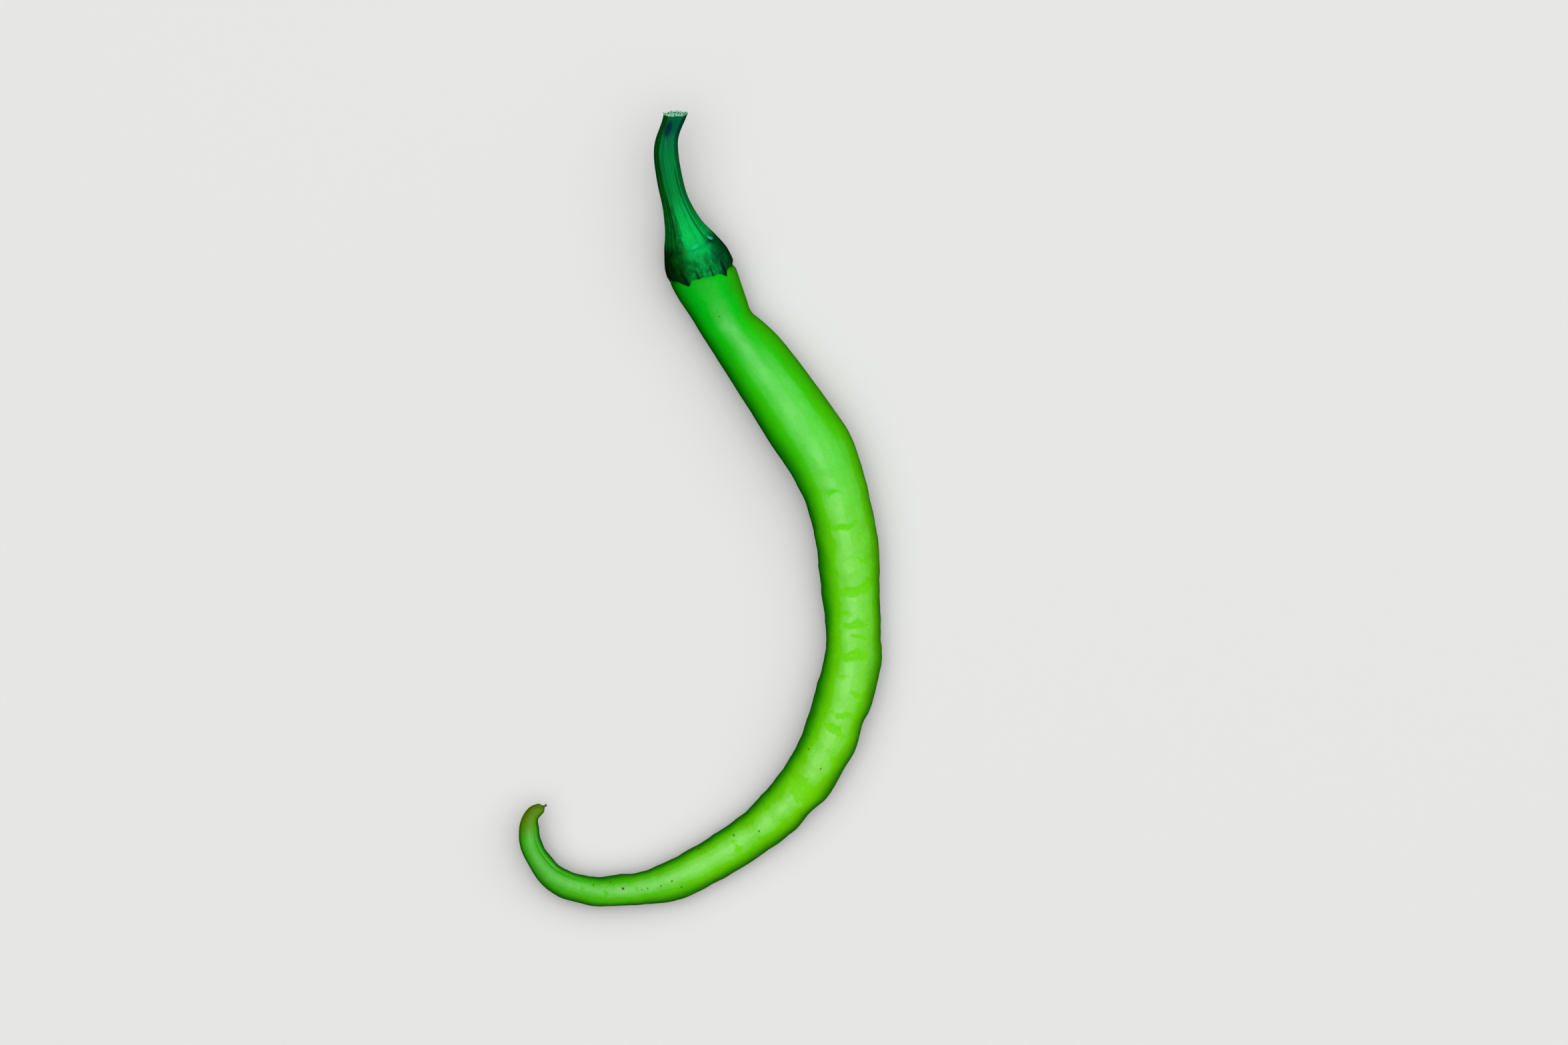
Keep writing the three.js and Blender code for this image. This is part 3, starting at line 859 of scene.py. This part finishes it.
def makeFrayTree():
    # short torn fibres standing on the broken end, joined to the stem they grow from
    tree = Tree("frayTornEnd", "GeometryNodeTree")
    addInput(tree, "Geometry", "Geometry")
    addInput(tree, "Fibres Per Area", "Float", 5e6)
    addInput(tree, "Fibre Length", "Float", 0.0006)
    addInput(tree, "Fibre Radius", "Float", 0.0001)
    addInput(tree, "Lean", "Float", 0.6)
    addInput(tree, "Seed", "Int", 1)
    addInput(tree, "Material", "Material")
    tree.group.interface.new_socket("Geometry", in_out="OUTPUT", socket_type="NodeSocketGeometry")
    given = tree.add("NodeGroupInput").outputs
    torn = tree.add("GeometryNodeInputNamedAttribute", {"Name": "torn"}, data_type="FLOAT")
    tornOut = live(torn.outputs, "Attribute")
    isTorn = tree.math("GREATER_THAN", tornOut, 0.7)
    spread = tree.add(
        "GeometryNodeDistributePointsOnFaces",
        {"Mesh": given["Geometry"], "Selection": isTorn, "Density": given["Fibres Per Area"],
         "Seed": given["Seed"]},
    )
    cone = tree.add(
        "GeometryNodeMeshCone",
        {"Vertices": 6, "Side Segments": 3, "Depth": given["Fibre Length"],
         "Radius Top": tree.times(given["Fibre Radius"], 0.35),
         "Radius Bottom": given["Fibre Radius"]},
    )
    low = tree.vector("SCALE", (-1.0, -1.0, -1.0), scale=given["Lean"])
    high = tree.vector("SCALE", (1.0, 1.0, 1.0), scale=given["Lean"])
    lean = tree.add("FunctionNodeRandomValue", {"Min": low, "Max": high, "Seed": given["Seed"]},
                    data_type="FLOAT_VECTOR")
    turn = tree.add(
        "FunctionNodeRotateRotation",
        {"Rotation": spread.outputs["Rotation"], "Rotate By": lean.outputs[0]}, rotation_space="LOCAL",
    )
    sizes = tree.add("FunctionNodeRandomValue", {2: 0.5, 3: 1.5, "Seed": given["Seed"]}, data_type="FLOAT")
    size = [s for s in sizes.outputs if s.enabled][0]
    stand = tree.add(
        "GeometryNodeInstanceOnPoints",
        {"Points": spread.outputs["Points"], "Instance": cone.outputs["Mesh"],
         "Rotation": turn.outputs[0], "Scale": size},
    )
    real = tree.add("GeometryNodeRealizeInstances", {"Geometry": stand.outputs[0]})
    marked = storeAs(tree, real.outputs[0], "torn", "FLOAT", 1.0)
    where = tree.add("GeometryNodeInputPosition").outputs[0]
    placed = storeAs(tree, marked, "skin", "FLOAT_VECTOR", where)
    both = tree.add("GeometryNodeJoinGeometry")
    tree.link(given["Geometry"], both.inputs[0])
    tree.link(placed, both.inputs[0])
    whole = tree.add("GeometryNodeRealizeInstances", {"Geometry": both.outputs[0]})
    painted = tree.add(
        "GeometryNodeSetMaterial", {"Geometry": whole.outputs[0], "Material": given["Material"]}
    )
    tree.link(painted.outputs[0], tree.add("NodeGroupOutput").inputs[0])
    return tree


stemMaterial = makeStemMaterial()
stemPiece = layPiece(makeStemShape(), stem, stemMaterial)
stemPiece = runTree(stemPiece, makeFrayTree(), {
    "Fibres Per Area": stem["fibresPerArea"] * 1e6, "Fibre Length": stem["fibreLength"] * mm,
    "Fibre Radius": stem["fibreRadius"] * mm, "Lean": stem["fibreLean"], "Seed": 7,
    "Material": stemMaterial,
})
print("stem made,", len(stemPiece.data.polygons), "faces")

# calyx
calyx = {
    "start": 28.3, "wall": 0.42, "clearOfPod": 0.14,
    "sides": 300, "rows": 90, "footRows": 8,
    "toothLength": 1.35, "toothSpread": 10, "toothShoulder": 24,
    "scallop": 0.12,
    "minorVeins": [16, -9, 66, 94, 138, 160, -62, -84, -128, -156],
    "veinHeight": 0.13,
    "seed": 23.0,
}


def calyxTeeth(angles):
    # how far the rim runs out past its line, and how strongly a vein shows, round the calyx
    reach = np.zeros_like(angles)
    vein = np.zeros_like(angles)
    for i in range(route["ridges"]):
        signed = turnedBy(angles, route["firstRidge"] + i * 360 / route["ridges"])
        away = np.abs(signed)
        spread = np.where(signed < 0, calyx["toothSpread"] * 1.6, calyx["toothSpread"])
        point = np.clip(1 - away / spread, 0, 1)
        slope = np.clip(1 - away / calyx["toothShoulder"], 0, 1)
        reach = reach + calyx["toothLength"] * (0.75 * point + 0.25 * slope**2)
        vein = np.maximum(vein, np.exp(-((away / 4.5) ** 2)))
    for angle in calyx["minorVeins"]:
        away = np.abs(turnedBy(angles, angle))
        reach = reach + 0.14 * np.exp(-((away / 4.5) ** 2))
        vein = np.maximum(vein, 0.8 * np.exp(-((away / 2.8) ** 2)))
    reach = reach + calyx["scallop"] * np.sin(np.radians(np.degrees(angles) * 7 + 20))
    return reach, vein


def makeCalyxShape():
    angles = np.linspace(0, 2 * math.pi, calyx["sides"], endpoint=False)[None, :]
    reach, vein = calyxTeeth(angles)
    t = np.linspace(0, 1, calyx["rows"])[:, None]
    outDistance = calyx["start"] + t * (rimAt(angles) - calyx["start"] + reach * t**4)
    # it starts just inside the stem's foot, so that the two grow into each other
    outRadius = halfWidth(outDistance) - 0.05 * (1 - smoothstep(outDistance, calyx["start"], 28.42))
    outRadius = outRadius + calyx["veinHeight"] * vein * smoothstep(t, 0.1, 0.6)
    lip = smoothstep(t, 0.9, 1)
    outRadius = outRadius - lip * calyx["wall"] * 0.45
    rimRadius = outRadius[-1:]
    rimDistance = outDistance[-1:]
    inner = rimRadius - calyx["wall"] * 0.55
    # the inside, from the rim back to the foot, just clear of the pod's shoulder
    back = np.linspace(0, 1, calyx["rows"] // 2)[1:, None]
    inDistance = rimDistance * (1 - back) + (pod["start"] - 0.2) * back
    inRadius = underCalyx(inDistance, angles) + calyx["clearOfPod"]
    inRadius = np.where(back < 0.1, inner * (1 - back * 10) + inRadius * back * 10, inRadius)
    foot = np.linspace(0, 1, calyx["footRows"])[1:-1, None]
    footRadius = foot * outRadius[:1]
    footDistance = np.full_like(footRadius, calyx["start"])
    radius = np.concatenate([footRadius, outRadius, inner, inRadius])
    distance = np.concatenate([footDistance, outDistance, rimDistance - 0.02, inDistance])
    veins = np.concatenate([
        np.zeros_like(footRadius), vein * smoothstep(t, 0.2, 1.0), vein, np.zeros_like(inRadius),
    ])
    edge = np.concatenate([
        np.zeros_like(footRadius), np.exp(-((outDistance - rimDistance) / 0.35) ** 2),
        np.ones_like(inner), np.ones_like(inRadius),
    ])
    return ringMesh("calyx_cup", distance, radius, angles, {"vein": veins, "edge": edge})


def makeCalyxMaterial():
    material, tree, shader = newMaterial("calyxSkin")
    skin = namedAttribute(tree, "skin").outputs["Vector"]
    x, _, _ = tree.split(skin)
    streaks = noiseOn(tree, stretched(tree, skin, 3.5, 0.6), 1.0, 3.0, 0.6)
    patches = noiseOn(tree, stretched(tree, skin, 1.8, 1.4), 1.0, 3.0)
    colour = calyxGreenWithPaintedLight(tree, skin)
    lines = tree.times(
        tree.between(streaks, 0.35, 0.65, 0.82, 1.1), tree.between(patches, 0.4, 0.6, 0.62, 1.08)
    )
    fadeIn = tree.between(x, route["stemFoot"] * mm, 30 * mm)
    toned = mixColour(tree, 1.0, colour, tree.join(lines, lines, lines), "MULTIPLY")
    colour = mixColour(tree, fadeIn, colour, toned)
    vein = namedAttribute(tree, "vein").outputs["Fac"]
    ragged = wandering(tree, streaks, 0.8, vein)
    onVein = tree.between(ragged, 0.2, 0.75, 0.0, 0.92)
    colour = mixColour(tree, onVein, colour, linear(*calyxColours["vein"]))
    edge = namedAttribute(tree, "edge").outputs["Fac"]
    pale = tree.times(tree.between(edge, 0.75, 1.0, 0.0, 0.6), tree.between(vein, 0.3, 0.0))
    colour = mixColour(tree, pale, colour, linear(*calyxColours["edge"]))
    colour = markOn(tree, skin, colour, scarAndPaintedLight, streaks)
    tree.feed(shader.inputs["Base Color"], colour)
    tree.feed(shader.inputs["Roughness"], tree.between(streaks, 0.3, 0.7, 0.6, 0.45))
    shader.inputs["Specular IOR Level"].default_value = 0.03
    fibres = noiseOn(tree, stretched(tree, skin, 1.4, 0.25), 1.0, 3.0, 0.6)
    height = tree.math("MULTIPLY_ADD", streaks, 1.5, fibres)
    bumps = tree.add("ShaderNodeBump", {"Strength": 0.5, "Distance": 0.12 * mm, "Height": height})
    tree.link(bumps.outputs[0], shader.inputs["Normal"])
    return material


calyxPiece = layPiece(makeCalyxShape(), calyx, makeCalyxMaterial())
print("calyx made,", len(calyxPiece.data.polygons), "faces")

# dried style at the tip
style = {
    "start": 222.6, "end": 223.6,
    "rings": 40, "sides": 28,
    "base": 0.34, "point": 0.2,
    "dark": (58, 44, 14), "light": (134, 112, 52),
    "grainHeight": 0.05, "grainLength": 0.6, "grainWidth": 0.15,
    "seed": 31.0,
}


def makeStyleShape():
    angles = np.linspace(0, 2 * math.pi, style["sides"], endpoint=False)[None, :]
    distance = alongPiece(style["start"], style["end"], style["rings"], crowd=0.3)[:, None]
    t = (distance - style["start"]) / (style["end"] - style["start"])
    radius = style["base"] * (1 - t) + style["point"] * t + 0.06 * np.sin(t * 9)
    rounded = np.sqrt(np.clip(1 - (2 * t - 1) ** 10, 0, 1))
    radius = radius * rounded * (1 + 0.12 * np.cos(4 * angles + 6 * t))
    distance = np.broadcast_to(distance, radius.shape)
    return ringMesh("style_remnant", distance, np.maximum(radius, 0.01), angles)


def makeStyleMaterial():
    material, tree, shader = newMaterial("driedStyle")
    skin = namedAttribute(tree, "skin").outputs["Vector"]
    flecks = noiseOn(tree, stretched(tree, skin, 0.5, 0.12), 1.0, 3.0)
    colour = colourRamp(tree, flecks, [(0.35, linear(*style["dark"])), (0.65, linear(*style["light"]))])
    tree.feed(shader.inputs["Base Color"], colour)
    tree.feed(shader.inputs["Roughness"], tree.between(flecks, 0.3, 0.7, 0.9, 0.7))
    bumps = tree.add("ShaderNodeBump", {"Strength": 0.8, "Distance": 0.05 * mm, "Height": flecks})
    tree.link(bumps.outputs[0], shader.inputs["Normal"])
    return material


stylePiece = layPiece(makeStyleShape(), style, makeStyleMaterial(), sectionHeight=1.0)
print("style made,", len(stylePiece.data.polygons), "faces")

# set the pieces on the CAD's place
cadPodLow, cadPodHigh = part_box("pod")
podPoints = np.empty(len(podPiece.data.vertices) * 3, np.float32)
podPiece.data.vertices.foreach_get("co", podPoints)
podPoints = podPoints.reshape(-1, 3)
podMiddle = Vector(((podPoints.min(0) + podPoints.max(0)) / 2).tolist())
shift = (cadPodLow + cadPodHigh) / 2 - podMiddle
shift.z = 0
print("shift onto the CAD, mm", [round(v / mm, 3) for v in shift])
for item in (podPiece, stemPiece, calyxPiece, stylePiece):
    item.data.transform(Matrix.Translation(shift))
bpy.data.objects.remove(routeObject)

finishPiece(podPiece, "pod")
finishPiece(stemPiece, "stem")
finishPiece(calyxPiece, "calyx")
finishPiece(stylePiece, "style_tip")

# floor, light and camera
studio = {
    "floorSize": 8.0, "floorColour": (0.7, 0.7, 0.69),
    # (place, size, power) of each softbox: wide ones overlap for a soft centre, one stands to the right
    "softboxes": [
        ((1.1, 0.4, 2.42), (7.4, 5.6), 62.0), ((0.3, 0.4, 2.36), (5.4, 5.2), 62.0),
        ((0.1, 0.2, 2.3), (3.0, 3.0), 15.0), ((-0.2, 0.1, 2.24), (1.3, 1.6), 8.5),
        ((4.4, 0.6, 1.7), (3.0, 3.0), 18.0),
    ],
    "worldStrength": 0.04,
    "viewWidth": 0.3175, "viewCentre": (0.01694, -0.00304), "lens": 200.0, "sensor": 36.0,
}


def makeFloor():
    half = studio["floorSize"] / 2
    mesh = bpy.data.meshes.new("floor")
    corners = [(-half, -half, 0), (half, -half, 0), (half, half, 0), (-half, half, 0)]
    mesh.from_pydata(corners, [], [(0, 1, 2, 3)])
    floor = bpy.data.objects.new("floor", mesh)
    scene.collection.objects.link(floor)
    material, _, shader = newMaterial("paleFloor")
    shader.inputs["Base Color"].default_value = (*studio["floorColour"], 1)
    shader.inputs["Roughness"].default_value = 0.8
    mesh.materials.append(material)
    floor.visible_diffuse = False
    floor.visible_glossy = False


def makeSoftboxes():
    for place, size, power in studio["softboxes"]:
        light = bpy.data.lights.new("softbox", "AREA")
        light.shape = "RECTANGLE"
        light.size, light.size_y = size
        light.energy = power
        item = bpy.data.objects.new("softbox", light)
        item.location = place
        if place[0] > place[2]:  # one that stands to the side is turned to face the pepper
            item.rotation_euler = (-Vector(place)).to_track_quat("-Z", "Y").to_euler()
        scene.collection.objects.link(item)


def makeWorld():
    world = bpy.data.worlds.new("studio")
    world.use_nodes = True
    world.node_tree.nodes["Background"].inputs["Color"].default_value = (1.0, 1.0, 1.0, 1)
    world.node_tree.nodes["Background"].inputs["Strength"].default_value = studio["worldStrength"]
    world.cycles_visibility.glossy = False
    scene.world = world


def makeCamera():
    data = bpy.data.cameras.new("above")
    data.lens = studio["lens"]
    data.sensor_width = studio["sensor"]
    camera = bpy.data.objects.new("above", data)
    height = studio["viewWidth"] * studio["lens"] / studio["sensor"]
    camera.location = (*studio["viewCentre"], height + (cadHigh.z + cadLow.z) / 2)
    scene.collection.objects.link(camera)
    scene.camera = camera


makeFloor()
makeSoftboxes()
makeWorld()
makeCamera()
scene.view_settings.view_transform = "Standard"
print("studio made")
